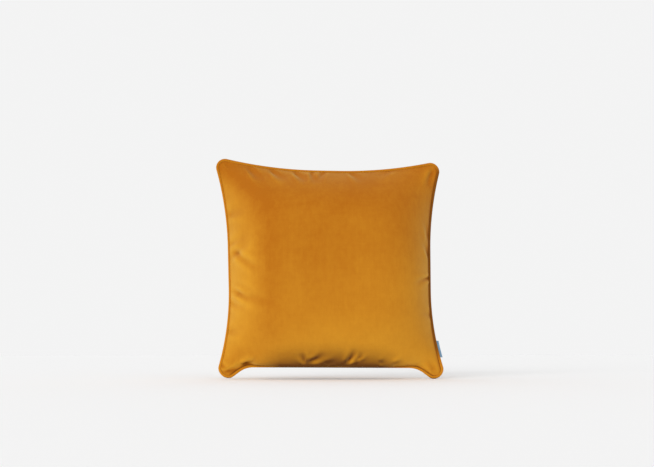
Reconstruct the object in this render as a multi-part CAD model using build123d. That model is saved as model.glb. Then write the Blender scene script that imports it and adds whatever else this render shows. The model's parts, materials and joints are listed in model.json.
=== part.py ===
"""Piped velvet throw pillow: a removable cover with a zip in its bottom seam, over a stuffed insert.

Millimetres. The pillow stands upright on its two lower corners: +Z is up, the front faces -Y, and the
origin is on the floor under the middle. The seam, the piping and all seam allowances lie in the XZ plane.
"""

import os
from math import asin, atan2, degrees, hypot, sin, tan

from build123d import *

# The seam line: the centreline of the piping, seen from the front.
SEAM_SIDE = 198.75  # half width at mid-height, where the sides are drawn in
SEAM_TOP = 414.0  # height of the top edge at its middle
SEAM_BOTTOM = 26.75  # height of the bottom edge at its middle
SIDE_STRAIGHT = 40.0  # half length of the straight middle of each edge
TOP_STRAIGHT = 20.0
BOTTOM_STRAIGHT = 156.0
SIDE_BEND = (520.0, 640.0)  # radius of each side's curve, below and above its middle
BOTTOM_BEND = 50.0  # radius by which the bottom edge turns down into the corners
CORNER_HEIGHT = (-21.8, 439.3)  # where the edges would meet in sharp points
CORNER_RADIUS = 14.25

# The fabric and the piping.
VELVET = 1.2
PIPING_RADIUS = 2.75
CORD_RADIUS = 1.7
CORD_CLEARANCE = 0.1
FLANGE = 1.6  # both layers of the piping strip, where they run into the seam
FLANGE_GRIP = 2.2  # distance from the piping's centreline to where the flange joins its wall
ALLOWANCE = 12.0
SEAM_THREAD = (0.6, 0.4)  # width, and how deep it is drawn into the allowance

# The crown of each face: rise * (1 - |u|^p) * (1 - |v|^p), on top of the folded edge.
CROWN_RISE = 73.0
CROWN_POWER = 3.2
CROWN_STEP = 20.0  # spacing of the points that the crown surface runs through
CROWN_REACH = 230.0  # half width of the crown surface before it is trimmed

# The insert.
INSERT_INSET = 16.0  # from the panel's edge to the insert's edge
INSERT_GAP = 1.0
CASING = 0.6
FILLING_GAP = 0.1

# The zip, in the bottom seam between the piping and the back panel.
ZIP_OPENING = 148.0  # half length of the gap in the back seam
ZIP_TAPE_HALF = 144.0
ZIP_TAPE = 0.5
ZIP_TAPE_RISE = (4.75, 16.0)  # above the seam line
ZIP_CENTRE = 5.3  # behind the seam plane
ZIP_CHAIN = (4.1, 5.9)  # bottom and top of the teeth, above the seam line
ZIP_CHAIN_HALF = 1.7
ZIP_PITCH = 1.6
ZIP_TOOTH = 1.1
ZIP_MESH = 0.35  # how far each row of teeth reaches past the middle
ZIP_SPINE = 0.7
ZIP_LIP = (8.6, 9.8)  # the back panel's folded edge behind the zip
ZIP_LIP_BOTTOM = 3.0
ZIP_LIP_TOP = 17.0

SLIDER_LENGTH = 11.0
SLIDER_X = 132.0  # its middle, with the zip closed
SLIDER_HALF = 2.3
SLIDER_PLATE = 0.9
SLIDER_BOTTOM = 3.0
SLIDER_TOP = 7.0
SLIDER_WALL = 0.4
SLIDER_WALL_RISE = 0.6
SLIDER_POST = (1.5, 1.4)  # along and across the zip
PULL_PIVOT = 1.9  # above the seam line
PULL_PIN_RADIUS = 0.45
PULL_PIN_CLEARANCE = 0.07
PULL_LENGTH = 18.0
PULL_THICKNESS = 0.9
PULL_HALF = (1.05, 1.75)  # half width at the pin and at the free end
EAR_THICKNESS = 0.6
EAR_LENGTH = 2.4

# The labels.
LABEL_HEIGHT = 37.0
LABEL_BOTTOM = 41.0
LABEL_THICKNESS = 0.5  # the ribbon folded double
LABEL_FOLDS = ((-12.0, 1.12), (-3.27, 1.12), (-1.5, 3.55), (9.0, 6.6))  # from the seam line
LABEL_SPACE = 0.1  # round the label where it passes through the back panel
CARE_LABEL = (42.0, 12.0, 0.4)
CARE_LABEL_HEIGHT = 190.0

MIDDLE = (SEAM_TOP + SEAM_BOTTOM) / 2
SHORT = 0.001
DEEP = 200.0


def arc_rise(distance, radius):
    """How far an arc has left its tangent line, at a distance along that line."""
    reach = min(max(distance, 0.0), 0.95 * radius)
    return radius - (radius**2 - reach**2) ** 0.5


def arc_radius(distance, rise):
    """The radius of an arc that leaves its tangent line by rise at that distance."""
    return (distance**2 + rise**2) / (2 * rise)


def side_at(z):
    """Half width of the seam line at a height."""
    return SEAM_SIDE + arc_rise(abs(z - MIDDLE) - SIDE_STRAIGHT, SIDE_BEND[z > MIDDLE])


LOW_CORNER, HIGH_CORNER = [(side_at(z), z) for z in CORNER_HEIGHT]
TOP_BEND = arc_radius(HIGH_CORNER[0] - TOP_STRAIGHT, HIGH_CORNER[1] - SEAM_TOP)
EAR_RUN = LOW_CORNER[0] - BOTTOM_STRAIGHT
EAR_RISE = BOTTOM_BEND - (SEAM_BOTTOM - LOW_CORNER[1])
BOTTOM_SLOPE = asin(BOTTOM_BEND / hypot(EAR_RUN, EAR_RISE)) - atan2(EAR_RISE, EAR_RUN)
SLOPE_START = BOTTOM_STRAIGHT + BOTTOM_BEND * sin(BOTTOM_SLOPE)


def top_at(x):
    return SEAM_TOP + arc_rise(abs(x) - TOP_STRAIGHT, TOP_BEND)


def bottom_at(x):
    """Height of the bottom edge: level, then round the bend, then straight down the slope."""
    bend = min(abs(x), SLOPE_START) - BOTTOM_STRAIGHT
    slope = max(abs(x) - SLOPE_START, 0.0)
    return SEAM_BOTTOM - arc_rise(bend, BOTTOM_BEND) - slope * tan(BOTTOM_SLOPE)


def half_outline():
    """The right half of the seam line with sharp corners, closed along the middle."""
    low = (SEAM_SIDE, MIDDLE - SIDE_STRAIGHT)
    high = (SEAM_SIDE, MIDDLE + SIDE_STRAIGHT)
    edges = [
        Line((0, SEAM_BOTTOM), (BOTTOM_STRAIGHT, SEAM_BOTTOM)),
        RadiusArc((BOTTOM_STRAIGHT, SEAM_BOTTOM), (SLOPE_START, bottom_at(SLOPE_START)), BOTTOM_BEND),
        Line((SLOPE_START, bottom_at(SLOPE_START)), LOW_CORNER),
        RadiusArc(LOW_CORNER, low, SIDE_BEND[0]),
        Line(low, high),
        RadiusArc(high, HIGH_CORNER, SIDE_BEND[1]),
        RadiusArc(HIGH_CORNER, (TOP_STRAIGHT, SEAM_TOP), TOP_BEND),
        Line((TOP_STRAIGHT, SEAM_TOP), (0, SEAM_TOP)),
        Line((0, SEAM_TOP), (0, SEAM_BOTTOM)),
    ]
    return make_face(Wire(edges))


def seam_face():
    """The area inside the seam line, its corners rounded as the piping turns them."""
    right = half_outline()
    whole = (right + mirror(right, about=Plane.YZ)).clean()
    corners = [v for v in whole.vertices() if abs(v.X) > SEAM_SIDE + ALLOWANCE]
    return fillet(corners, CORNER_RADIUS)


SEAM = seam_face()


def inside(distance):
    """The area inside a line that runs a distance inside the seam line."""
    return offset(SEAM, amount=-distance) if distance else SEAM


def plate(area, near, far):
    """A flat area of the pillow's plane as a solid between two depths, negative at the front."""
    return Pos(0, near, 0) * extrude(Plane.XZ * area, amount=-(far - near))


def ring(outer, inner, near, far):
    """A flat ring that follows the seam, between two distances inside the seam line."""
    return plate(inside(outer) - inside(inner), near, far)


def block(x, y, z):
    """A box between two corners, each of x, y and z a pair."""
    size = [pair[1] - pair[0] for pair in (x, y, z)]
    centre = [(pair[1] + pair[0]) / 2 for pair in (x, y, z)]
    return Pos(*centre) * Box(*size)


def steps(low, high, step):
    count = round((high - low) / step)
    return [low + (high - low) * i / count for i in range(count + 1)]


def crown_height(x, z):
    """How far a face stands proud of the folded edge."""
    u = abs(x) / (side_at(z) - PIPING_RADIUS)
    half = top_at(x) - MIDDLE if z > MIDDLE else MIDDLE - bottom_at(x)
    v = abs(z - MIDDLE) / (half - PIPING_RADIUS)
    return CROWN_RISE * (1 - u**CROWN_POWER) * (1 - v**CROWN_POWER)


def crown_body():
    """Everything behind the front face's crown, before it is trimmed to the outline."""
    rows = steps(-PIPING_RADIUS, HIGH_CORNER[1], CROWN_STEP)
    columns = steps(-CROWN_REACH, CROWN_REACH, CROWN_STEP)
    edge = FLANGE / 2 + VELVET
    points = [[Vector(x, -edge - crown_height(x, z), z) for x in columns] for z in rows]
    return extrude(Face.make_surface_from_array_of_points(points), DEEP, dir=(0, 1, 0))


CROWN = crown_body()


def half_pillow(inset, depth, back=0.0):
    """The front half of a pillow shape: inset from the seam line, its face a depth under the crown."""
    trim = plate(inside(inset), -DEEP, -back)
    return trim & (Pos(0, depth, 0) * CROWN)


def panel():
    """One face of the cover, with the allowance that is turned into the seam."""
    edge = FLANGE / 2
    shell = half_pillow(PIPING_RADIUS, 0, edge) - half_pillow(PIPING_RADIUS + VELVET, VELVET, edge)
    turned = ring(PIPING_RADIUS + VELVET / 2, PIPING_RADIUS + ALLOWANCE, -edge - VELVET, -edge)
    return shell + turned


def above_seam(low, high):
    return (SEAM_BOTTOM + low, SEAM_BOTTOM + high)


def back_panel():
    """The back face: at the zip its edge is folded back behind the teeth instead of joining the seam."""
    opening = (-ZIP_OPENING, ZIP_OPENING)
    cut = block(opening, (FLANGE / 2 - 0.1, ZIP_LIP[0]), above_seam(-ALLOWANCE, ZIP_LIP_TOP + 1))
    lip = block(opening, ZIP_LIP, above_seam(ZIP_LIP_BOTTOM, ZIP_LIP_TOP))
    return mirror(panel(), about=Plane.XZ) - cut + lip - side_label(LABEL_SPACE)


def along_seam(section):
    """A section carried all the way round the seam line, one straight or arc at a time."""
    parts = [sweep(Plane(e @ 0, z_dir=e % 0) * section, e) for e in SEAM.wire().edges()]
    return Plane.XZ * parts[0].fuse(*parts[1:])


def piping_sleeve():
    """The velvet strip round the cord, with the flange that is sewn into the seam."""
    tube = along_seam(Circle(PIPING_RADIUS) - Circle(CORD_RADIUS + CORD_CLEARANCE))
    flange = ring(FLANGE_GRIP, PIPING_RADIUS + ALLOWANCE, -FLANGE / 2, FLANGE / 2)
    return tube + flange


def piping_cord():
    return along_seam(Circle(CORD_RADIUS))


def seam_thread():
    """The line of stitches that closes the seam, drawn into the front panel's allowance."""
    width, depth = SEAM_THREAD
    start = PIPING_RADIUS + ALLOWANCE / 2
    face = -FLANGE / 2 - VELVET
    return ring(start, start + width, face, face + depth)


def front_panel():
    return panel() - seam_thread()


def insert_casing():
    """The front half of the insert's cotton casing."""
    inset = PIPING_RADIUS + INSERT_INSET
    depth = VELVET + INSERT_GAP
    return half_pillow(inset, depth) - half_pillow(inset + CASING, depth + CASING)


def insert_filling():
    inset = PIPING_RADIUS + INSERT_INSET + CASING + FILLING_GAP
    front = half_pillow(inset, VELVET + INSERT_GAP + CASING + FILLING_GAP)
    return front + mirror(front, about=Plane.XZ)


def zip_tape(side):
    """A woven tape that runs up beside the teeth. side is -1 at the front and 1 at the back."""
    run = (-ZIP_TAPE_HALF, ZIP_TAPE_HALF)
    outer = ZIP_LIP[0] - 0.1 if side > 0 else FLANGE / 2 + 0.1
    upright = sorted((outer, outer - side * ZIP_TAPE))
    foot = sorted((outer - side * ZIP_TAPE / 2, ZIP_CENTRE + side * ZIP_CHAIN_HALF))
    low, high = ZIP_TAPE_RISE
    return block(run, upright, above_seam(low, high)) + block(run, foot, above_seam(low, low + ZIP_TAPE))


def zip_teeth(side):
    """One row of teeth: a comb whose teeth fall between those of the other row."""
    end = SLIDER_X + SLIDER_LENGTH / 2 - 2 * SLIDER_POST[0] - ZIP_PITCH
    start = -ZIP_TAPE_HALF + 2 * ZIP_PITCH
    count = int((end - start) / ZIP_PITCH)
    spine = ZIP_CENTRE + side * (ZIP_CHAIN_HALF - ZIP_SPINE)
    tip = ZIP_CENTRE - side * ZIP_MESH
    shift = ZIP_PITCH / 2 if side > 0 else 0.0
    outline = [(start, ZIP_CENTRE + side * ZIP_CHAIN_HALF), (start, spine)]
    for i in range(count):
        tooth = start + shift + i * ZIP_PITCH + (ZIP_PITCH - ZIP_TOOTH) / 4
        outline += [(tooth, spine), (tooth, tip), (tooth + ZIP_TOOTH / 2, tip), (tooth + ZIP_TOOTH / 2, spine)]
    outline += [(end, spine), (end, ZIP_CENTRE + side * ZIP_CHAIN_HALF)]
    low, high = above_seam(*ZIP_CHAIN)
    return Pos(0, 0, low) * extrude(make_face(Polyline(outline, close=True)), high - low)


def zip_stops():
    """The two top stops, one on each tape, past the closed slider."""
    start = SLIDER_X + SLIDER_LENGTH / 2 + 0.3
    low, high = ZIP_CHAIN
    stops = [
        block(
            (start, start + 2.0),
            sorted((ZIP_CENTRE + side * 0.5, ZIP_CENTRE + side * ZIP_CHAIN_HALF)),
            above_seam(low, high),
        )
        for side in (-1, 1)
    ]
    return Compound(children=stops)


def zip_bottom_stop():
    """The clip that holds the two tapes together at the open end."""
    start = -ZIP_TAPE_HALF + 0.3
    return block(
        (start, start + 2.5),
        (ZIP_CENTRE - ZIP_CHAIN_HALF, ZIP_CENTRE + ZIP_CHAIN_HALF),
        above_seam(*ZIP_CHAIN),
    )


def zip_slider():
    """Two plates joined by a post at the closing end, with low side walls and a bridge for the pull."""
    run = (SLIDER_X - SLIDER_LENGTH / 2, SLIDER_X + SLIDER_LENGTH / 2)
    across = (ZIP_CENTRE - SLIDER_HALF, ZIP_CENTRE + SLIDER_HALF)
    lower = block(run, across, above_seam(SLIDER_BOTTOM, SLIDER_BOTTOM + SLIDER_PLATE))
    upper = block(run, across, above_seam(SLIDER_TOP - SLIDER_PLATE, SLIDER_TOP))
    corner = 1.2
    plates = fillet((lower + upper).edges().filter_by(Axis.Z), corner)
    post_length, post_width = SLIDER_POST
    post = block(
        (run[1] - post_length - 0.6, run[1] - 0.6),
        (ZIP_CENTRE - post_width / 2, ZIP_CENTRE + post_width / 2),
        above_seam(SLIDER_BOTTOM + SLIDER_PLATE / 2, SLIDER_TOP - SLIDER_PLATE / 2),
    )
    slider = plates + post
    walls = (run[0] + corner, run[1] - corner)
    for side in (-1, 1):
        edge = ZIP_CENTRE + side * SLIDER_HALF
        y = sorted((edge, edge - side * SLIDER_WALL))
        wall_low = SLIDER_BOTTOM + SLIDER_PLATE
        wall_high = SLIDER_TOP - SLIDER_PLATE
        slider += block(walls, y, above_seam(wall_low - 0.2, wall_low + SLIDER_WALL_RISE))
        slider += block(walls, y, above_seam(wall_high - SLIDER_WALL_RISE, wall_high + 0.2))
        inner = ZIP_CENTRE + side * (PULL_HALF[0] + 0.1)
        ear = sorted((inner, inner + side * EAR_THICKNESS))
        low = PULL_PIVOT - PULL_PIN_RADIUS - 0.3
        ear_run = (SLIDER_X - EAR_LENGTH / 2, SLIDER_X + EAR_LENGTH / 2)
        slider += block(ear_run, ear, above_seam(low, SLIDER_BOTTOM + 0.2))
    pin_half = PULL_HALF[0] + 0.1 + EAR_THICKNESS / 2
    return slider + across_cylinder(PULL_PIN_RADIUS, pin_half)


def across_cylinder(radius, half):
    """A cylinder on the pull's pivot, across the zip."""
    return Pos(SLIDER_X, ZIP_CENTRE, SEAM_BOTTOM + PULL_PIVOT) * Rot(90, 0, 0) * Cylinder(radius, 2 * half)


def zip_pull():
    """The pull: an eye round the slider's pin and a flat tab, lying back along the closed zip."""
    eye_half, tab_half = PULL_HALF
    neck = SLIDER_X - 2.2
    end = SLIDER_X - PULL_LENGTH
    flat = Polyline(
        (SLIDER_X, -eye_half),
        (neck, -eye_half),
        (neck - 2, -tab_half),
        (end, -tab_half),
        (end, tab_half),
        (neck - 2, tab_half),
        (neck, eye_half),
        (SLIDER_X, eye_half),
        close=True,
    )
    tab = extrude(make_face(flat), PULL_THICKNESS)
    tab = fillet(tab.edges().filter_by(Axis.Z).group_by(Axis.X)[0], 1.2)
    low = SEAM_BOTTOM + PULL_PIVOT - PULL_THICKNESS / 2
    tab = Pos(0, ZIP_CENTRE, low) * tab
    eye = across_cylinder(2 * PULL_PIN_RADIUS, eye_half)
    bore = across_cylinder(PULL_PIN_RADIUS + PULL_PIN_CLEARANCE, eye_half + 1)
    return tab + eye - bore


def zip_tacks():
    """The bar tacks of thread that close the seam at each end of the zip."""
    tacks = [
        block(
            sorted((side * (ZIP_TAPE_HALF + 0.5), side * (ZIP_OPENING - 0.3))),
            (FLANGE / 2 + 0.1, ZIP_LIP[0] - 0.1),
            above_seam(3.4, 6.4),
        )
        for side in (-1, 1)
    ]
    return Compound(children=tacks)


def side_label(space=0.0):
    """A folded ribbon sewn in between the piping and the back panel, near the lower right corner.

    With space, it is instead the slot that the ribbon needs in the panel."""
    height = LABEL_HEIGHT + 2 * space
    profile = trace(Polyline(*LABEL_FOLDS), LABEL_THICKNESS + 2 * space)
    ribbon = Pos(0, 0, -height / 2) * extrude(profile, height)
    middle = LABEL_BOTTOM + LABEL_HEIGHT / 2
    lean = atan2(side_at(LABEL_BOTTOM + LABEL_HEIGHT) - side_at(LABEL_BOTTOM), LABEL_HEIGHT)
    return Pos(side_at(middle), 0, middle) * Rot(0, degrees(lean), 0) * ribbon


def care_label():
    """A short care tag sewn into the seam allowance, inside the cover."""
    height, width, thickness = CARE_LABEL
    start = PIPING_RADIUS + 3.0
    face = FLANGE / 2 + VELVET + 0.1
    right = -side_at(MIDDLE) + start
    return block(
        (right, right + width),
        (face, face + thickness),
        (CARE_LABEL_HEIGHT, CARE_LABEL_HEIGHT + height),
    )


def main():
    nodes = {
        "front_panel": front_panel(),
        "back_panel": back_panel(),
        "piping_sleeve": piping_sleeve(),
        "piping_cord": piping_cord(),
        "seam_thread": seam_thread(),
        "insert_casing_front": insert_casing(),
        "insert_casing_back": mirror(insert_casing(), about=Plane.XZ),
        "insert_filling": insert_filling(),
        "zip_tape_front": zip_tape(-1),
        "zip_tape_back": zip_tape(1),
        "zip_teeth_front": zip_teeth(-1),
        "zip_teeth_back": zip_teeth(1),
        "zip_top_stops": zip_stops(),
        "zip_bottom_stop": zip_bottom_stop(),
        "zip_slider": zip_slider(),
        "zip_pull": zip_pull(),
        "zip_tacks": zip_tacks(),
        "side_label": side_label(),
        "care_label": care_label(),
    }
    os.makedirs("parts", exist_ok=True)
    for name, shape in nodes.items():
        export_step(shape, f"parts/{name}.step")


main()
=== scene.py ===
"""The looks of the piped velvet throw pillow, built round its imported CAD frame.

The two faces of the cover are simulated as one cloth, pushed to a fuller shape, and folded. The insert,
the piping and the label follow from them and from the seam line. Shapes are worked out in millimetres,
with x to the right, y to the back and z up, and turned into metres where an object is made.
"""

import json
import math

import bpy
import numpy as np
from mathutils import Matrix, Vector


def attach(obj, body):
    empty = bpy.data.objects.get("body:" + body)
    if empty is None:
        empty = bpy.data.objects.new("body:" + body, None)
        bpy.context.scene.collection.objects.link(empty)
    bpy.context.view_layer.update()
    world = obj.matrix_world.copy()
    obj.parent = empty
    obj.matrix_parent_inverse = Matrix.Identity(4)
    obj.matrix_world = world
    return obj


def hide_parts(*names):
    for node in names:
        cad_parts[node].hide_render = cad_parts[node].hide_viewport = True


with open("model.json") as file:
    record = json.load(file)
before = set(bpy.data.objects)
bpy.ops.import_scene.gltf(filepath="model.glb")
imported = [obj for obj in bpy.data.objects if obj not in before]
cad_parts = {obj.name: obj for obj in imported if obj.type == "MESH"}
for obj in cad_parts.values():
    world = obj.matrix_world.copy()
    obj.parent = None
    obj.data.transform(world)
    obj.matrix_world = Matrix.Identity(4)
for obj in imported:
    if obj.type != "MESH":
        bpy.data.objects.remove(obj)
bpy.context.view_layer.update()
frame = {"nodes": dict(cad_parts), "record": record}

MM = 0.001

# The seam line, as in the CAD model: where its sides, top and bottom lie, how far each runs straight from
# its middle, and the radius that each bends with after that.
SIDE, TOP, BOTTOM = 198.75, 414.0, 26.75
SIDE_STRAIGHT, TOP_STRAIGHT, BOTTOM_STRAIGHT = 40.0, 20.0, 156.0
LOW_SIDE_BEND, HIGH_SIDE_BEND = 520.0, 640.0
BOTTOM_BEND = 50.0
LOW_CORNER, HIGH_CORNER = -21.8, 439.3  # how high the corners lie before they are rounded
CORNER_RADIUS = 14.25
MIDDLE = (TOP + BOTTOM) / 2
RUN_POINTS, SIDE_POINTS = 500, 900  # on half the bottom or top and on a side, before they are evened
ARC_POINTS, EDGE_POINTS = 60, 800  # on a corner's arc, and on each edge where all four make one loop

# How far each corner of the real pillow lies from the even shape: (x, z).
LOPSIDED = {
    (-1, 1): (-4.5, -4.2),
    (1, 1): (-3.0, -8.1),
    (-1, -1): (6.5, -1.1),
    (1, -1): (-1.5, -3.1),
}

# The cloth.
CELLS = 96  # along each edge of a face
FINER = 2  # times as many cells in the finished cover
FABRIC_HALF = 223.5  # half the cut width of the cover
CUT_CORNER, CUT_TURN = 0.016, 24  # how much of that the cut's corners lose, and how sharply they turn
START_DEPTH, CUT_DEPTH = 45.0, 2.0  # how far a face stands out before it is blown up, and as cut
DOME = 2.5  # 2 makes that a round dome, and more makes it boxier
FRAMES = 45  # of simulation
CLOTH_THICKNESS, CASING_THICKNESS = 1.2, 0.5

# The stuffed shape.
CROWN = 75.5  # how far each face stands out at its middle
FULLNESS = 1.9  # 1 keeps the blown-up profile, and more makes it steeper at the seam
DROOP = 3.0  # how far the middle of a face sinks
BELLY = 15.0  # how far a face hangs down over the bottom seam
BELLY_HEIGHT, BELLY_START = 34.0, 14.0  # how high above the seam it begins, and how far in front of it
DIP, DIP_AT, DIP_WIDTH = 3.5, 12.0, 48.0  # it hangs less about the middle
BELLY_END, BELLY_BLEND = 165.0, 9.0  # the ears beyond don't hang

# The folds.
SEAM_FADE = 8.0  # they fade out this near to the seam
FOLD_BEND, FOLD_TURN = 0.12, 2.4  # how much of its length a fold curves aside, and how fast
FOLD_START, FOLD_GROWTH = -0.25, 0.4  # where it begins, and how soon it is whole, in lengths
SWELL, TAIL = 1.5, 1.1  # how gently it comes in and goes out, where 1 is a straight slope
NEAR_WIDTH, WIDENING = 0.8, 0.6  # its width at its start, and how much wider it is at its end
RIDGE, RIDGE_AT = 0.5, 1.8  # the ridges beside a valley: their height, and their place in valley widths
LEAST_DEPTH = 1.6  # a fold pushes no face nearer than this to the pillow's middle plane

# Marks of painted shade, which darken the velvet as a fold of that depth does.
GROOVE_SHADE, GROOVE_SHADE_WIDTH = 9.0, 4.5  # along the bottom and right-hand seams
PIPING_SHADE = 7.0  # on the right-hand piping
SHADE_FROM, SHADE_RISE = (160.0, 22.0), (25.0, 40.0)  # where that begins (x, z), and over what distance
SHADE_END, SHADE_FALL = 428.0, 20.0  # how high it ends, and over what distance

# The underside, which gets the shaded copy of the velvet with less sheen: how far it faces down, and how
# high it goes.
UNDER_SLOPE, UNDER_TOP = -0.78, 60.0

# The back face's loose edge along the zip: half its length, how far behind the seam, how far above it.
LIP_HALF, LIP_DEPTH, LIP_DROP = 156.5, 9.4, 3.0
LIP_BLEND, LIP_TOP, LIP_TOP_BLEND = 1.6, 80.0, 4.0

# What lies inside the cover: how far in from the seam and from the face.
CASING_INSET, CASING_DEPTH = 19.0, 9.0
FILLING_INSET, FILLING_DEPTH = 21.0, 11.0

# The round pieces in the seam: how many rings of how many points, and their radius.
PIPING_TUBE, CORD_TUBE, THREAD_TUBE = (900, 14, 2.75), (600, 10, 1.7), (600, 6, 0.25)
THREAD_INSET, THREAD_DEPTH = 3.4, -0.3  # from the seam line

# The label: its lower edge, its height, half its thickness where it is sewn, and how much thicker it is
# where it is free. The ribbon's path is (x, y), with x counted from the seam.
LABEL_BOTTOM, LABEL_HEIGHT, RIBBON, PUFF = 45.5, 33.0, 0.22, 0.9
LABEL_PATH = ((-9.0, 1.15), (-3.2, 1.25), (-1.2, 4.1), (3.0, 5.6), (8.0, 7.4))
LABEL_SEWN = 0.7  # how much of the path is sewn in, against what is free
LABEL_WAVE, WAVE_START, WAVE_RUN = 0.5, 0.6, 5.1  # its height, and its angles in radians
WAVE_OUT = 0.3  # how much of the wave goes outwards
LABEL_SKEW = 0.6  # how far its upper edge lies behind the lower one
LABEL_ROWS, LABEL_POINTS, LABEL_TURN = 26, 30, 9  # points up it, along its path and round its outer end

# The front's folds: where each starts (x, z), how it runs (dx, dz), its width and its depth.
CREASES = (
    # left edge
    ((-194, 238), (34, 54), 8, 3.0),
    ((-186, 246), (60, -32), 6.5, 3.2),
    ((-186, 170), (46, -14), 6, 5.0),
    ((-176, 178), (92, -28), 9, 1.8),
    ((-198, 150), (34, -6), 6, 2.4),
    ((-198, 262), (34, 30), 7, 2.6),
    ((-203, 320), (36, 24), 9, 2.4),
    ((-205, 92), (46, 20), 9, 2.2),
    # right edge
    ((192, 278), (-12, 34), 4.5, 2.4),
    ((194, 240), (-16, 28), 4.5, 3.4),
    ((197, 199), (-34, -22), 4.5, 3.8),
    ((203, 120), (-34, 8), 6, 1.8),
    # top edge
    ((-160, 412), (34, -22), 7, 4.0),
    ((-118, 410), (36, -18), 6, 4.0),
    ((-72, 408), (30, -20), 6, 4.4),
    ((-38, 408), (12, -28), 5, 3.6),
    ((-12, 408), (-12, -28), 5, 3.2),
    ((38, 408), (28, -18), 6, 3.2),
    ((120, 412), (-26, -18), 6, 2.6),
    ((-210, 430), (26, -18), 5, 2.6),
    ((205, 412), (-6, -40), 6, 4.5),
    # bottom edge and ears
    ((-207, 14), (48, 20), 5, 4.5),
    ((-170, 27), (26, 13), 5.5, 7.5),
    ((-53, 33), (-11, 16), 4.5, 2.6),
    ((-38, 34), (24, 20), 5, 2.6),
    ((-10, 30), (24, 10), 5, 1.4),
    ((32, 32), (10, 28), 5.5, 4.2),
    ((52, 38), (3, 16), 4.5, 2.4),
    ((94, 31), (16, 5), 5, 1.2),
    ((124, 27), (20, 10), 5, 3.2),
    ((164, 22), (16, 6), 5, 3.2),
    ((-216, 30), (32, -10), 5, 2.6),
    ((-212, 12), (34, 12), 5, 2.2),
    ((205, 16), (-30, 26), 7, 2.8),
)

# The back's folds are drawn at random: how many start at each edge and how near to its ends, and how far
# each leans, how long, how wide and how deep it is.
BACK_SEED, BACK_FOLDS_PER_EDGE, BACK_ENDS = 11, 7, (0.1, 0.9)
BACK_LEAN, BACK_LENGTH, BACK_WIDTH, BACK_DEPTH = (-0.9, 0.9), (20, 55), (4.5, 8), (1.8, 4.6)


# ---------------------------------------------------------------- the seam line


def rise(distance, radius):
    """How far an arc has left its tangent, that distance along the tangent."""
    reach = np.clip(distance, 0, 0.95 * radius)
    return radius - np.sqrt(radius**2 - reach**2)


def side_at(z):
    low = rise(MIDDLE - z - SIDE_STRAIGHT, LOW_SIDE_BEND)
    high = rise(z - MIDDLE - SIDE_STRAIGHT, HIGH_SIDE_BEND)
    return SIDE + low + high


LOW_X, HIGH_X = float(side_at(LOW_CORNER)), float(side_at(HIGH_CORNER))
TOP_BEND = ((HIGH_X - TOP_STRAIGHT) ** 2 + (HIGH_CORNER - TOP) ** 2) / (2 * (HIGH_CORNER - TOP))
EAR_RUN, EAR_RISE = LOW_X - BOTTOM_STRAIGHT, BOTTOM_BEND - (BOTTOM - LOW_CORNER)
EAR_SLOPE = math.asin(BOTTOM_BEND / math.hypot(EAR_RUN, EAR_RISE)) - math.atan2(EAR_RISE, EAR_RUN)
SLOPE_START = BOTTOM_STRAIGHT + BOTTOM_BEND * math.sin(EAR_SLOPE)


def bottom_at(x):
    bend = np.minimum(x, SLOPE_START) - BOTTOM_STRAIGHT
    return BOTTOM - rise(bend, BOTTOM_BEND) - np.maximum(x - SLOPE_START, 0) * math.tan(EAR_SLOPE)


def corner_angle(first, second):
    back, on = first[-2] - first[-1], second[1] - second[0]
    return math.acos(np.dot(back, on) / np.linalg.norm(back) / np.linalg.norm(on))


def rounded(first, second):
    """Two curves that meet in a sharp corner, joined by an arc that touches both."""
    angle = corner_angle(first, second)
    reach = CORNER_RADIUS / math.tan(angle / 2)

    def trimmed(curve):
        left = np.linalg.norm(curve - curve[-1], axis=1)
        return curve[left > reach]

    before, after = trimmed(first), trimmed(second[::-1])
    start, end = before[-1], after[-1]
    ahead, back = start - before[-2], end - after[-2]
    peak = start + np.linalg.solve(np.array([ahead, -back]).T, end - start)[0] * ahead
    share = np.linspace(0, 1, ARC_POINTS)[1:-1, None]
    weights = (1 - share) ** 2, 2 * share * (1 - share) * math.sin(angle / 2), share**2
    arc = (weights[0] * start + weights[1] * peak + weights[2] * end) / sum(weights)
    half = len(arc) // 2
    return np.concatenate([before, arc[:half]]), np.concatenate([arc[half:], after[::-1]])


def even(points, count):
    """The same line as count evenly spaced points."""
    along = np.concatenate([[0], np.cumsum(np.linalg.norm(np.diff(points, axis=0), axis=1))])
    want = np.linspace(0, along[-1], count)
    return np.stack([np.interp(want, along, points[:, i]) for i in range(points.shape[1])], axis=1)


def half_seam():
    """The right half of the even seam line: bottom, side and top, anticlockwise."""
    x = np.linspace(0, LOW_X, RUN_POINTS)
    bottom = np.stack([x, bottom_at(x)], axis=1)
    z = np.linspace(LOW_CORNER, HIGH_CORNER, SIDE_POINTS)
    side = np.stack([side_at(z), z], axis=1)
    x = np.linspace(HIGH_X, 0, RUN_POINTS)
    top = np.stack([x, TOP + rise(x - TOP_STRAIGHT, TOP_BEND)], axis=1)
    bottom, side = rounded(bottom, side)
    side, top = rounded(side, top)
    return bottom, side, top


def lopsided(points):
    """Points of the even pillow moved to where the real one has them."""
    moved = np.array(points, dtype=float)
    u, v = moved[..., 0] / SIDE, (moved[..., 1] - MIDDLE) / (TOP - MIDDLE)
    shifts = [
        ((1 + right * u) * (1 + up * v) / 4)[..., None] * np.array(shift)
        for (right, up), shift in LOPSIDED.items()
    ]
    return moved + sum(shifts)


def seam_edges(count=CELLS + 1):
    """Bottom (left to right), right (up), top (left to right) and left (up), as evenly spaced points."""
    bottom, side, top = half_seam()
    flip = np.array([-1, 1])
    whole_bottom = np.concatenate([(bottom * flip)[::-1], bottom[1:]])
    whole_top = np.concatenate([(top * flip)[:-1], top[::-1]])
    return [lopsided(even(edge, count)) for edge in (whole_bottom, side, whole_top, side * flip)]


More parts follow.
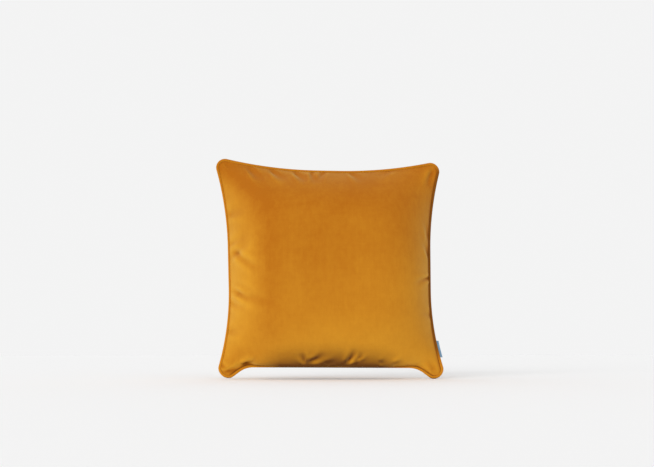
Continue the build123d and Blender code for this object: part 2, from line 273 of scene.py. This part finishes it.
def seam_loop(count, inset=0.0, depth=0.0):
    """The seam line as a closed loop, or a line inside it."""
    bottom, right, top, left = seam_edges(EDGE_POINTS)
    loop = np.concatenate([bottom[:-1], right[:-1], top[::-1][:-1], left[::-1][:-1], bottom[:1]])
    loop = even(loop, count + 1)[:-1]
    ahead = np.roll(loop, -1, axis=0) - np.roll(loop, 1, axis=0)
    ahead /= np.linalg.norm(ahead, axis=1)[:, None]
    loop = loop + inset * np.stack([-ahead[:, 1], ahead[:, 0]], axis=1)
    return np.stack([loop[:, 0], np.full(count, depth), loop[:, 1]], axis=1)


def cut_edges():
    """The cut fabric's edges, in the same order: a square with its corners rounded a little."""
    t = np.linspace(-1, 1, CELLS + 1)
    edge = FABRIC_HALF * (1 - CUT_CORNER * np.abs(t) ** CUT_TURN)
    run = edge * t
    return [np.stack(pair, axis=1) for pair in ((run, -edge), (edge, run), (run, edge), (-edge, run))]


# ---------------------------------------------------------------- meshes


def new_object(name, points, faces):
    """A smooth-shaded object from points in millimetres."""
    mesh = bpy.data.meshes.new(name)
    mesh.from_pydata((points * MM).tolist(), [], [tuple(face) for face in faces])
    mesh.update()
    mesh.shade_smooth()
    obj = bpy.data.objects.new(name, mesh)
    bpy.context.scene.collection.objects.link(obj)
    return obj


def grid_faces(rows, columns, start=0, turn=False):
    faces = []
    for row in range(rows - 1):
        for column in range(columns - 1):
            here = start + row * columns + column
            face = (here, here + 1, here + columns + 1, here + columns)
            faces.append(face[::-1] if turn else face)
    return faces


def patch(edges):
    """A grid of points that fills the space between four edges, as [row up][column right]."""
    bottom, right, top, left = edges
    u = np.linspace(0, 1, len(bottom))[None, :, None]
    v = np.linspace(0, 1, len(left))[:, None, None]
    between = (1 - v) * bottom[None] + v * top[None] + (1 - u) * left[:, None] + u * right[:, None]
    low = (1 - u) * (1 - v) * bottom[0] + u * (1 - v) * bottom[-1]
    high = (1 - u) * v * top[0] + u * v * top[-1]
    return between - low - high


def normals(grid):
    crossed = np.cross(np.gradient(grid, axis=1), np.gradient(grid, axis=0))
    return crossed / np.maximum(np.linalg.norm(crossed, axis=-1, keepdims=True), 1e-9)


def finer(grid, times):
    """The same surface with more points, along smooth curves through the old ones."""
    count = len(grid)
    at = np.linspace(0, count - 1, (count - 1) * times + 1)
    base = np.minimum(at.astype(int), count - 2)
    t = at - base
    pulls = (
        (-1, (-t + 2 * t**2 - t**3) / 2),
        (0, (2 - 5 * t**2 + 3 * t**3) / 2),
        (1, (t + 4 * t**2 - 3 * t**3) / 2),
        (2, (-(t**2) + t**3) / 2),
    )
    weights = np.zeros((len(at), count))
    for shift, pull in pulls:
        for row, (column, weight) in enumerate(zip(base + shift, pull)):
            if 0 <= column < count:
                weights[row, column] += weight
            else:
                edge, inner = (0, 1) if column < 0 else (count - 1, count - 2)
                weights[row, edge] += 2 * weight
                weights[row, inner] -= weight
    return np.tensordot(weights, np.tensordot(weights, grid, (1, 1)), (1, 1))


def seam_tube(name, size, inset=0.0, depth=0.0):
    """A closed tube along the seam line or inside it, of a size given as rings, points and radius."""
    rings, around, radius = size
    line = seam_loop(rings, inset, depth)
    ahead = np.roll(line, -1, axis=0) - np.roll(line, 1, axis=0)
    ahead /= np.linalg.norm(ahead, axis=1)[:, None]
    side = np.cross(ahead, [0.0, 1.0, 0.0])
    side /= np.linalg.norm(side, axis=1)[:, None]
    over = np.cross(side, ahead)
    turn = np.linspace(0, 2 * math.pi, around, endpoint=False)[None, :, None]
    ring = side[:, None] * np.cos(turn) + over[:, None] * np.sin(turn)
    points = (line[:, None] + ring * radius).reshape(-1, 3)
    faces = []
    for i in range(rings):
        this, after = i * around, (i + 1) % rings * around
        for j in range(around):
            k = (j + 1) % around
            faces.append((this + j, after + j, after + k, this + k))
    return new_object(name, points, faces)


def mark(obj, fold):
    """How folded each point is, or how much painted shade it gets, for the velvet's colour."""
    amount = obj.data.attributes.new("fold", "FLOAT", "POINT")
    amount.data.foreach_set("value", fold.astype(np.float32))


# ---------------------------------------------------------------- the stuffed cover, as cloth


def cloth_mesh():
    """The cover as one closed cloth, and the point numbers of its front and back as grids."""
    count = CELLS + 1
    outline, cut = patch(seam_edges()), patch(cut_edges())
    t = np.linspace(-1, 1, count)
    dome = (1 - np.abs(t)[None, :] ** DOME) * (1 - np.abs(t)[:, None] ** DOME)
    start = np.stack([outline[..., 0], -START_DEPTH * dome, outline[..., 1]], axis=-1)
    rest = np.stack([cut[..., 0], -CUT_DEPTH * dome, cut[..., 1]], axis=-1)

    front = np.arange(count**2).reshape(count, count)
    inner = np.zeros((count, count), bool)
    inner[1:-1, 1:-1] = True
    back = front.copy()
    back[inner] = count**2 + np.arange(inner.sum())
    mirror = np.array([1, -1, 1])
    faces = []
    for grid, turn in ((front, False), (back, True)):
        corners = [grid[:-1, :-1], grid[:-1, 1:], grid[1:, 1:], grid[1:, :-1]]
        quads = np.stack(corners, axis=-1).reshape(-1, 4)
        faces += (quads[:, ::-1] if turn else quads).tolist()
    cloth = new_object("cloth", np.concatenate([start.reshape(-1, 3), (start * mirror)[inner]]), faces)
    cloth.shape_key_add(name="start")
    key = cloth.shape_key_add(name="cut")
    rest_points = np.concatenate([rest.reshape(-1, 3), (rest * mirror)[inner]]) * MM
    key.data.foreach_set("co", rest_points.ravel())
    cloth.active_shape_key_index = 0
    pin = cloth.vertex_groups.new(name="pin")
    pin.add(front[~inner].tolist(), 1.0, "REPLACE")
    return cloth, front, back


def stuffed_cover():
    """Both faces of the cover, sewn at the seam and blown up: two grids of points."""
    cloth, front, back = cloth_mesh()
    modifier = cloth.modifiers.new("cloth", "CLOTH")
    modifier.collision_settings.use_collision = False
    modifier.collision_settings.use_self_collision = False
    settings = modifier.settings
    settings.quality = 6
    settings.mass = 0.2
    settings.tension_stiffness = settings.compression_stiffness = 40
    settings.shear_stiffness = 15
    settings.bending_stiffness = 0.6
    settings.tension_damping = settings.compression_damping = settings.shear_damping = 12
    settings.bending_damping = 0.5
    settings.air_damping = 2.0
    settings.effector_weights.gravity = 0
    settings.use_pressure = True
    settings.uniform_pressure_force = 6.0
    settings.vertex_group_mass = "pin"
    settings.pin_stiffness = 10
    settings.rest_shape_key = cloth.data.shape_keys.key_blocks["cut"]
    frames = FRAMES
    modifier.point_cache.frame_start, modifier.point_cache.frame_end = 1, frames
    for number in range(1, frames + 1):
        bpy.context.scene.frame_set(number)
    evaluated = cloth.evaluated_get(bpy.context.evaluated_depsgraph_get())
    points = np.empty(3 * len(evaluated.data.vertices))
    evaluated.data.vertices.foreach_get("co", points)
    points = points.reshape(-1, 3) / MM
    bpy.data.objects.remove(cloth)
    bpy.context.scene.frame_set(1)
    return points[front], points[back]


def fuller(grid, sign):
    """A stuffed face from a blown-up one: steeper at the seam, flatter in the middle, and sagging."""
    out = grid.copy()
    x, above = out[..., 0], out[..., 2] - BOTTOM
    height = np.abs(out[..., 1])
    full = CROWN * (1 - (1 - height / height.max()) ** FULLNESS)
    belly = BELLY - DIP * np.exp(-(((x - DIP_AT) / DIP_WIDTH) ** 2))
    belly /= 1 + np.exp((np.abs(x) - BELLY_END) / BELLY_BLEND)
    sag = belly * np.exp(-((above / BELLY_HEIGHT) ** 2)) * (1 - np.exp(-((full / BELLY_START) ** 2)))
    out[..., 1] = sign * full
    out[..., 2] -= sag + DROOP * np.sin(full / CROWN * math.pi / 2)
    return out


def folds(grid, creases):
    """How far each point of a face rises or sinks in its folds."""
    x, z = grid[..., 0], grid[..., 2]
    fold = np.zeros(x.shape)
    for (start_x, start_z), (run_x, run_z), width, depth in creases:
        length = math.hypot(run_x, run_z)
        ahead_x, ahead_z = run_x / length, run_z / length
        along = ((x - start_x) * ahead_x + (z - start_z) * ahead_z) / length
        aside = (z - start_z) * ahead_x - (x - start_x) * ahead_z
        aside += FOLD_BEND * length * np.sin(along * FOLD_TURN)
        wide = width * (NEAR_WIDTH + WIDENING * np.clip(along, 0, 1))
        growing, fading = np.clip((along - FOLD_START) / FOLD_GROWTH, 0, 1), np.clip(1 - along, 0, 1)
        strength = growing**SWELL * fading**TAIL
        valley = np.exp(-((aside / wide) ** 2))
        ridges = np.exp(-(((np.abs(aside) - RIDGE_AT * wide) / wide) ** 2))
        fold += depth * strength * (RIDGE * ridges - valley)
    return fold


def creased(grid, creases, sign):
    """A face with its folds, and the mark of each point: its fold, with painted shade in the groove along
    the bottom and right-hand seams; sign is 1 for the front and -1 for the back.
    """
    t = np.linspace(-1, 1, len(grid))
    from_seam = (1 - np.maximum(np.abs(t)[:, None], np.abs(t)[None])) * FABRIC_HALF
    fold = folds(grid, creases) * np.clip(from_seam / SEAM_FADE, 0, 1)
    out = grid + normals(grid) * sign * fold[..., None]
    least = np.minimum(np.abs(grid[..., 1]), LEAST_DEPTH)
    out[..., 1] = -sign * np.maximum(-sign * out[..., 1], least)
    from_right_or_bottom = np.minimum((1 - t)[None, :], (1 + t)[:, None]) * FABRIC_HALF
    return out, fold - GROOVE_SHADE * np.exp(-((from_right_or_bottom / GROOVE_SHADE_WIDTH) ** 2))


def back_creases():
    """Folds for the back: along every edge, towards the middle."""
    rng = np.random.default_rng(BACK_SEED)
    bottom, right, top, left = seam_edges()
    found = []
    for edge, (in_x, in_z) in ((bottom, (0, 1)), (right, (-1, 0)), (top, (0, -1)), (left, (1, 0))):
        for share in np.sort(rng.uniform(*BACK_ENDS, BACK_FOLDS_PER_EDGE)):
            lean, reach = rng.uniform(*BACK_LEAN), rng.uniform(*BACK_LENGTH)
            run = reach * (in_x + lean * in_z), reach * (in_z + lean * in_x)
            found.append((edge[int(share * CELLS)], run, rng.uniform(*BACK_WIDTH), rng.uniform(*BACK_DEPTH)))
    return found


def zip_lip(grid):
    """The back face along the zip: its edge hangs behind the teeth instead of meeting the seam."""
    out = grid.copy()
    x, z = out[..., 0], out[..., 2]
    along_zip = 1 / (1 + np.exp((np.abs(x) - LIP_HALF) / LIP_BLEND))
    below_top = 1 / (1 + np.exp(np.minimum((z - LIP_TOP) / LIP_TOP_BLEND, 50)))
    near = along_zip * below_top
    out[..., 1] = np.maximum(out[..., 1], LIP_DEPTH * near)
    out[..., 2] = np.maximum(z, (BOTTOM + LIP_DROP) * near + z * (1 - near))
    return out


def shaded_copy_faces(mesh, faces, fold):
    """1 for each face that gets the shaded copy of the velvet, in the seam's groove, in a deep fold or on
    the underside, and 0 elsewhere.
    """
    facing, centre = np.empty(3 * len(faces)), np.empty(3 * len(faces))
    mesh.polygons.foreach_get("normal", facing)
    mesh.polygons.foreach_get("center", centre)
    under_shade = (facing[2::3] < UNDER_SLOPE) & (centre[2::3] < UNDER_TOP * MM)
    groove = fold[np.array(faces)].mean(axis=1) < -GROOVE_SHADE / 2
    return (under_shade | groove).astype(np.int32)


def panel(name, grid, sign, thickness, fold=None):
    """One face of the cover or of the insert, as a closed sheet of cloth; sign is 1 for a front."""
    count = len(grid)
    inner = grid - normals(grid) * sign * thickness
    faces = grid_faces(count, count, 0, sign < 0) + grid_faces(count, count, count**2, sign > 0)
    index = np.arange(count**2).reshape(count, count)
    rim = np.concatenate([index[0, :-1], index[:-1, -1], index[-1, :0:-1], index[:0:-1, 0]])
    for here, there in zip(rim, np.roll(rim, -1)):
        face = (there, here, here + count**2, there + count**2)
        faces.append(face if sign > 0 else face[::-1])
    made = new_object(name, np.concatenate([grid.reshape(-1, 3), inner.reshape(-1, 3)]), faces)
    if fold is not None:
        both_sides = np.tile(fold.ravel(), 2)
        mark(made, both_sides)
        made.data.polygons.foreach_set("material_index", shaded_copy_faces(made.data, faces, both_sides))
    return made


def shrunk(grid, inset, depth):
    """The same face, drawn in from the seam and from the cover: what lies inside it."""
    centre = np.array([0, 0, MIDDLE])
    scale = np.array([1 - inset / SIDE, 1 - depth / CROWN, 1 - inset / SIDE])
    return (grid - centre) * scale + centre


def insert_filling(faces):
    """The stuffing, as one closed body."""
    grids = [shrunk(face, FILLING_INSET, FILLING_DEPTH) for face in faces]
    count = CELLS + 1
    sides = grid_faces(count, count) + grid_faces(count, count, count**2, True)
    return new_object("filling", np.concatenate([grid.reshape(-1, 3) for grid in grids]), sides)


blown = stuffed_cover()
smooth_front, smooth_back = fuller(blown[0], -1), fuller(blown[1], 1)
front, front_fold_and_shade = creased(finer(smooth_front, FINER), CREASES, 1)
back, back_fold_and_shade = creased(finer(smooth_back, FINER), back_creases(), -1)
cover_front = panel("cover_front", front, 1, CLOTH_THICKNESS, front_fold_and_shade)
cover_back = panel("cover_back", zip_lip(back), -1, CLOTH_THICKNESS, back_fold_and_shade)
inside = [shrunk(face, CASING_INSET, CASING_DEPTH) for face in (smooth_front, smooth_back)]
casing_front = panel("casing_front", inside[0], 1, CASING_THICKNESS)
casing_back = panel("casing_back", inside[1], -1, CASING_THICKNESS)
filling = insert_filling((smooth_front, smooth_back))


# ---------------------------------------------------------------- piping, cord and thread


def sewn_piping():
    """The piping, shaded along the right-hand side, where the room's light doesn't reach."""
    made = seam_tube("piping", PIPING_TUBE)
    points = np.empty(3 * len(made.data.vertices))
    made.data.vertices.foreach_get("co", points)
    x, z = points[0::3] / MM, points[2::3] / MM
    right = np.clip((x - SHADE_FROM[0]) / SHADE_RISE[0], 0, 1)
    above_ear = np.clip((z - SHADE_FROM[1]) / SHADE_RISE[1], 0, 1)
    below_corner = np.clip((SHADE_END - z) / SHADE_FALL, 0, 1)
    mark(made, -PIPING_SHADE * right * above_ear * below_corner)
    return made


piping = sewn_piping()
cord = seam_tube("cord", CORD_TUBE)
thread = seam_tube("thread", THREAD_TUBE, THREAD_INSET, THREAD_DEPTH)


# ---------------------------------------------------------------- side label


def smooth_path(points, count, passes=24):
    """A line through a few points, rounded where it turns."""
    line = even(np.array(points, dtype=float), 2 * count)
    for _ in range(passes):
        line[1:-1] = (line[:-2] + 2 * line[1:-1] + line[2:]) / 4
    return even(line, count)


def ribbon_section():
    """The ribbon seen from above, folded double round its outer end, and how free each point is to move."""
    line = smooth_path(LABEL_PATH, LABEL_POINTS)
    ahead = np.gradient(line, axis=0)
    ahead /= np.linalg.norm(ahead, axis=1)[:, None]
    away = np.stack([-ahead[:, 1], ahead[:, 0]], axis=1)
    free = np.clip(np.linspace(-LABEL_SEWN, 1, LABEL_POINTS), 0, 1)
    gap = RIBBON * (1 + PUFF * 4 * free * (1 - free))[:, None]
    turn = np.linspace(math.pi / 2, -math.pi / 2, LABEL_TURN)[1:-1, None]
    loop = line[-1] + RIBBON * (np.cos(turn) * ahead[-1] + np.sin(turn) * away[-1])
    section = np.concatenate([line + gap * away, loop, (line - gap * away)[::-1]])
    return section, np.concatenate([free, np.ones(len(loop)), free[::-1]])


def ribbon_label():
    """The ribbon, sewn in along the seam, a little wavy and skewed where it is free."""
    section, free = ribbon_section()
    count = len(section)
    points = []
    for share in np.linspace(0, 1, LABEL_ROWS):
        z = LABEL_BOTTOM + LABEL_HEIGHT * share
        seam_x, seam_z = lopsided(np.array([side_at(z), z]))
        wave = LABEL_WAVE * math.sin(WAVE_START + WAVE_RUN * share) * free
        skew = LABEL_SKEW * (share - 0.5) * free
        out = seam_x + section[:, 0] + WAVE_OUT * wave
        points.append(np.stack([out, section[:, 1] + wave + skew, np.full(count, seam_z)], axis=1))
    faces = grid_faces(LABEL_ROWS, count, turn=True)
    last_row = (LABEL_ROWS - 1) * count
    for start in range(0, last_row, count):
        faces.append((start, start + count - 1, start + 2 * count - 1, start + count))
    faces += [range(count), range(last_row, last_row + count)[::-1]]
    return new_object("side_ribbon", np.concatenate(points), faces)


label = ribbon_label()


# ---------------------------------------------------------------- materials


class Shader:
    """A material's nodes, with short ways to add the ones used here."""

    def __init__(self, name):
        self.made = bpy.data.materials.new(name)
        self.made.use_nodes = True
        self.nodes, self.links = self.made.node_tree.nodes, self.made.node_tree.links
        self.surface = self.nodes["Principled BSDF"].inputs
        self.coords = self.add("ShaderNodeTexCoord").outputs

    def add(self, kind, **values):
        node = self.nodes.new(kind)
        for key, value in values.items():
            setattr(node, key, value)
        return node

    def feed(self, socket, value):
        """A number, a colour or another node's output into a socket."""
        if isinstance(value, bpy.types.NodeSocket):
            self.links.new(value, socket)
        elif isinstance(value, tuple) and socket.type == "RGBA":
            socket.default_value = (*value, 1)
        else:
            socket.default_value = value

    def noise(self, size, detail=2.0, rough=0.5, stretch=(1, 1, 1)):
        scaled = self.add("ShaderNodeMapping")
        self.feed(scaled.inputs["Vector"], self.coords["Object"])
        self.feed(scaled.inputs["Scale"], stretch)
        node = self.add("ShaderNodeTexNoise")
        self.feed(node.inputs["Vector"], scaled.outputs["Vector"])
        for key, value in (("Scale", size), ("Detail", detail), ("Roughness", rough)):
            self.feed(node.inputs[key], value)
        return node.outputs["Fac"]

    def span(self, value, low, high, to_low=0.0, to_high=1.0):
        """The value's range from low to high, mapped to to_low and to_high."""
        node = self.add("ShaderNodeMapRange")
        names = ("Value", "From Min", "From Max", "To Min", "To Max")
        for key, number in zip(names, (value, low, high, to_low, to_high)):
            self.feed(node.inputs[key], number)
        return node.outputs["Result"]

    def uneven(self, size, amount, detail=2.0, rough=0.5, stretch=(1, 1, 1)):
        """Noise that adds or takes up to about amount."""
        return self.span(self.noise(size, detail, rough, stretch), 0.3, 0.7, -amount, amount)

    def maths(self, operation, first, second=0.0):
        node = self.add("ShaderNodeMath", operation=operation)
        self.feed(node.inputs[0], first)
        self.feed(node.inputs[1], second)
        return node.outputs["Value"]

    def mix(self, factor, first, second):
        node = self.add("ShaderNodeMix", data_type="RGBA")
        self.feed(node.inputs["Factor"], factor)
        self.feed(node.inputs[6], first)
        self.feed(node.inputs[7], second)
        return node.outputs[2]

    def bump(self, height, distance, strength):
        node = self.add("ShaderNodeBump")
        for key, value in (("Height", height), ("Distance", distance), ("Strength", strength)):
            self.feed(node.inputs[key], value)
        self.feed(self.surface["Normal"], node.outputs["Normal"])

    def unshaded(self, distance):
        """Painted shade from ambient occlusion: 0 deep in a groove and 1 in the open."""
        node = self.add("ShaderNodeAmbientOcclusion", samples=6)
        self.feed(node.inputs["Distance"], distance)
        return self.span(node.outputs["AO"], 0.1, 0.6)

    def split(self, coordinates):
        """A kind of coordinates, such as Normal, as its X, Y and Z."""
        node = self.add("ShaderNodeSeparateXYZ")
        self.feed(node.inputs["Vector"], self.coords[coordinates])
        return node.outputs


def velvet(name, shade_colour, dark, light, sheen):
    """Short pile with painted light and shade: painted sheen where it turns aside, lighter where it faces
    down or far to the left, darker where it faces up or a little to the left, and painted shade in folds, in
    grooves and under the belly.
    """
    shader = Shader(name)
    facing, place = shader.split("Normal"), shader.split("Object")
    fold = shader.add("ShaderNodeAttribute", attribute_name="fold").outputs["Fac"]
    turned = shader.maths("SUBTRACT", 1, shader.maths("ABSOLUTE", facing["Y"]))
    tones = [
        # painted light and shade by which way the surface faces: painted sheen where it turns aside, lighter
        # facing down and darker facing up, darker facing right and a little left, lighter facing far left
        shader.maths("MULTIPLY", turned, 0.6),
        shader.maths("MULTIPLY", facing["Z"], -0.45),
        shader.maths("MULTIPLY", facing["X"], -0.1),
        shader.span(facing["X"], -0.03, -0.26, 0, -0.24),
        shader.span(facing["X"], -0.28, -0.62, 0, 0.28),
        # from the bottom of the pillow to its top, in metres: lighter at the bottom and darker at the top
        shader.span(place["Z"], 0.04, 0.36, 0.16, -0.20),
        # patches of brushed pile, from large to small, then warp, weft and single tufts
        shader.uneven(5.5, 0.12, 3),
        shader.uneven(18, 0.05, 3),
        shader.uneven(95, 0.06, 3, 0.6, (1, 1, 0.7)),
        shader.uneven(260, 0.03, 2, 0.6, (1, 1, 0.06)),
        shader.uneven(240, 0.02, 2, 0.6, (0.08, 1, 1)),
        shader.uneven(700, 0.05, 2, 0.6),
        # painted shade in the valleys of the folds and in the marked grooves, and painted highlight on the
        # ridges
        shader.span(fold, -4, 3, -0.45, 0.38),
    ]
    tone = 0.37
    for part in tones:
        tone = shader.maths("ADD", part, tone)
    lit_pile = shader.mix(shader.span(tone, 0, 1), dark, light)

    # Painted shade, mixed towards the first colour: under the belly about the middle, in grooves from
    # ambient occlusion, and in deep folds and the marked grooves.
    middle = shader.span(shader.maths("ABSOLUTE", place["X"]), 0.10, 0.155, 1, 0)
    under_shade = shader.maths("MULTIPLY", shader.span(facing["Z"], -0.42, -0.75, 0, 0.95), middle)
    underside_shade = shader.maths("MULTIPLY", under_shade, shader.span(place["Z"], 0.05, 0.09, 1, 0))
    unshaded = shader.unshaded(0.010)
    for shade in (underside_shade, shader.span(fold, -2.5, -7, 0, 0.7)):
        unshaded = shader.maths("SUBTRACT", unshaded, shade)
    shader.feed(shader.surface["Base Color"], shader.mix(shader.span(unshaded, 0, 1), shade_colour, lit_pile))
    shader.bump(shader.noise(1500, 2, 0.6), 0.00035, 0.5)
    shader.feed(shader.surface["Roughness"], 0.9)
    shader.feed(shader.surface["Specular IOR Level"], 0.15)
    shader.feed(shader.surface["Sheen Weight"], sheen)
    shader.feed(shader.surface["Sheen Roughness"], 0.42)
    shader.feed(shader.surface["Sheen Tint"], (1.0, 0.84, 0.34))
    return shader.made


def woven(name, dark, light, size, rough=0.7, depth=0.00015, sheen=0.0):
    """Plain cloth or thread: two crossed sets of fine waves, with a little uneven colour."""
    shader = Shader(name)
    waves = []
    for axis in ("X", "Z"):
        wave = shader.add("ShaderNodeTexWave", bands_direction=axis)
        shader.feed(wave.inputs["Vector"], shader.coords["Object"])
        for key, value in (("Scale", size), ("Distortion", 0.8), ("Detail", 1.0)):
            shader.feed(wave.inputs[key], value)
        waves.append(wave.outputs["Fac"])
    weave = shader.maths("MULTIPLY", waves[0], waves[1])
    patches = shader.span(shader.noise(60, 3), 0.3, 0.7, 0.0, 0.5)
    tone = shader.maths("ADD", shader.maths("MULTIPLY", weave, 0.5), patches)
    shader.feed(shader.surface["Base Color"], shader.mix(tone, dark, light))
    shader.bump(weave, depth, 0.6)
    shader.feed(shader.surface["Roughness"], rough)
    shader.feed(shader.surface["Sheen Weight"], sheen)
    return shader.made


def metal(name, dark, light, rough):
    """Brushed metal with duller, darker patches."""
    shader = Shader(name)
    worn = shader.span(shader.noise(420, 4, 0.65), 0.35, 0.65)
    shader.feed(shader.surface["Base Color"], shader.mix(worn, dark, light))
    dull = shader.span(shader.noise(900), 0.3, 0.7, rough - 0.08, rough + 0.08)
    shader.feed(shader.surface["Roughness"], dull)
    shader.bump(shader.noise(2600, stretch=(0.1, 1, 1)), 0.00004, 0.4)
    shader.feed(shader.surface["Metallic"], 1.0)
    return shader.made


def plain(name, colour, rough):
    shader = Shader(name)
    shader.feed(shader.surface["Base Color"], colour)
    shader.feed(shader.surface["Roughness"], rough)
    return shader.made


# From PILE_DARK to PILE_LIGHT the velvet's tone runs through its painted light and shade as well as its own
# uneven pile; each velvet's first colour is its painted shade colour.
PILE_DARK, PILE_LIGHT = (0.38, 0.112, 0.0012), (0.61, 0.278, 0.016)
VELVET = velvet("velvet", (0.14, 0.036, 0.0005), PILE_DARK, PILE_LIGHT, 0.5)
# A shaded copy of the velvet, with a darker shade colour and less sheen, for faces in the seam's groove, in
# deep folds and on the underside.
SHADED_VELVET = velvet("velvet_in_shade", (0.12, 0.032, 0.0004), PILE_DARK, PILE_LIGHT, 0.12)
PIPED = velvet("piped", (0.10, 0.026, 0.0005), (0.42, 0.140, 0.002), (0.58, 0.235, 0.010), 0.4)
FINISHES = {
    "casing": woven("cotton", (0.72, 0.70, 0.64), (0.86, 0.85, 0.80), 900, 0.85, sheen=0.1),
    "filling": woven("fibre", (0.80, 0.79, 0.77), (0.92, 0.92, 0.90), 260, 0.95, 0.001, 0.3),
    "cotton_cord": woven("cotton_cord", (0.66, 0.62, 0.52), (0.84, 0.81, 0.72), 420, 0.85, 0.0004),
    "thread": woven("thread", (0.30, 0.11, 0.008), (0.42, 0.17, 0.014), 1500, 0.5, 0.0001),
    "zip_tape": woven("zip_tape", (0.26, 0.10, 0.010), (0.38, 0.16, 0.018), 800),
    "zip_teeth": woven("zip_teeth", (0.28, 0.12, 0.014), (0.36, 0.16, 0.020), 1600, 0.4, 0.00003),
    "zip_metal": metal("brass", (0.42, 0.28, 0.10), (0.60, 0.44, 0.18), 0.32),
    "side_label": woven("blue_ribbon", (0.13, 0.265, 0.42), (0.27, 0.44, 0.57), 1300, 0.45, 0.00006, 0.2),
    "care_label": woven("white_ribbon", (0.78, 0.78, 0.76), (0.90, 0.90, 0.89), 1300, 0.5, 0.00006),
}

for obj, finishes in (
    (cover_front, (VELVET, SHADED_VELVET)),
    (cover_back, (VELVET, SHADED_VELVET)),
    (piping, (PIPED,)),
    (casing_front, (FINISHES["casing"],)),
    (casing_back, (FINISHES["casing"],)),
    (filling, (FINISHES["filling"],)),
    (cord, (FINISHES["cotton_cord"],)),
    (thread, (FINISHES["thread"],)),
    (label, (FINISHES["side_label"],)),
):
    for finish in finishes:
        obj.data.materials.append(finish)
for subpart in frame["record"]["subparts"]:
    if subpart["material_slot"] in FINISHES:
        for slot in frame["nodes"][subpart["node"]].material_slots:
            slot.material = FINISHES[subpart["material_slot"]]


# ---------------------------------------------------------------- the pieces in the frame

for obj, node, finish in (
    (cover_front, "front_panel", "velvet"),
    (cover_back, "back_panel", "velvet"),
    (casing_front, "insert_casing_front", "casing"),
    (casing_back, "insert_casing_back", "casing"),
    (filling, "insert_filling", "filling"),
):
    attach(obj, "pillow")
    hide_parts(node)
for obj, node, finish in (
    (piping, "piping_sleeve", "piping"),
    (cord, "piping_cord", "cotton_cord"),
    (thread, "seam_thread", "thread"),
    (label, "side_label", "side_label"),
):
    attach(obj, "pillow")
    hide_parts(node)


# ---------------------------------------------------------------- floor, light and camera

FLOOR_HALF = 6000.0
DISTANCE, YAW = 2.6, math.radians(-4.0)  # the camera's distance, in metres, and its turn to the left
EYE_HEIGHT, AIM_HEIGHT = 0.067, 0.2856  # metres
VIEW_WIDTH = 1.2912  # metres that the picture spans at the pillow
SUN_FROM, SUN_TO = Vector((-1.3, -2.4, 1.0)), Vector((0, 0, 0.22))


def add_floor():
    corners = [(-1, -1, 0), (1, -1, 0), (1, 1, 0), (-1, 1, 0)]
    floor = new_object("floor", np.array(corners) * FLOOR_HALF, [(0, 1, 2, 3)])
    floor.data.materials.append(plain("floor", (0.93, 0.93, 0.93), 0.9))


def add_sky():
    """White light from all round, weaker from the right."""
    world = bpy.data.worlds.new("studio")
    bpy.context.scene.world = world
    world.use_nodes = True
    nodes, links = world.node_tree.nodes, world.node_tree.links
    direction = nodes.new("ShaderNodeTexCoord")
    parts = nodes.new("ShaderNodeSeparateXYZ")
    brightness = nodes.new("ShaderNodeMapRange")
    brightness.interpolation_type = "SMOOTHSTEP"
    for key, value in (("From Min", 0.3), ("From Max", 1.0), ("To Min", 0.90), ("To Max", 0.45)):
        brightness.inputs[key].default_value = value
    links.new(direction.outputs["Generated"], parts.inputs["Vector"])
    links.new(parts.outputs["X"], brightness.inputs["Value"])
    links.new(brightness.outputs["Result"], nodes["Background"].inputs["Strength"])
    nodes["Background"].inputs["Color"].default_value = (1, 1, 1, 1)
    bpy.context.scene.view_settings.view_transform = "Standard"


def add_sun():
    light = bpy.data.lights.new("key", "SUN")
    light.energy, light.angle = 1.45, math.radians(35)
    sun = bpy.data.objects.new("key", light)
    sun.rotation_euler = (SUN_TO - SUN_FROM).to_track_quat("-Z", "Y").to_euler()
    bpy.context.scene.collection.objects.link(sun)


def add_camera():
    pitch = math.atan2(AIM_HEIGHT - EYE_HEIGHT, DISTANCE)
    camera = bpy.data.cameras.new("camera")
    camera.sensor_width = 36.0
    camera.lens = camera.sensor_width * DISTANCE / math.cos(pitch) / VIEW_WIDTH
    camera.shift_x = -0.005
    camera.clip_start, camera.clip_end = 0.05, 50
    eye = bpy.data.objects.new("camera", camera)
    eye.location = (DISTANCE * math.sin(YAW), -DISTANCE * math.cos(YAW), EYE_HEIGHT)
    eye.rotation_euler = (math.radians(90) + pitch, 0, YAW)
    bpy.context.scene.collection.objects.link(eye)
    bpy.context.scene.camera = eye


add_floor()
add_sky()
add_sun()
add_camera()
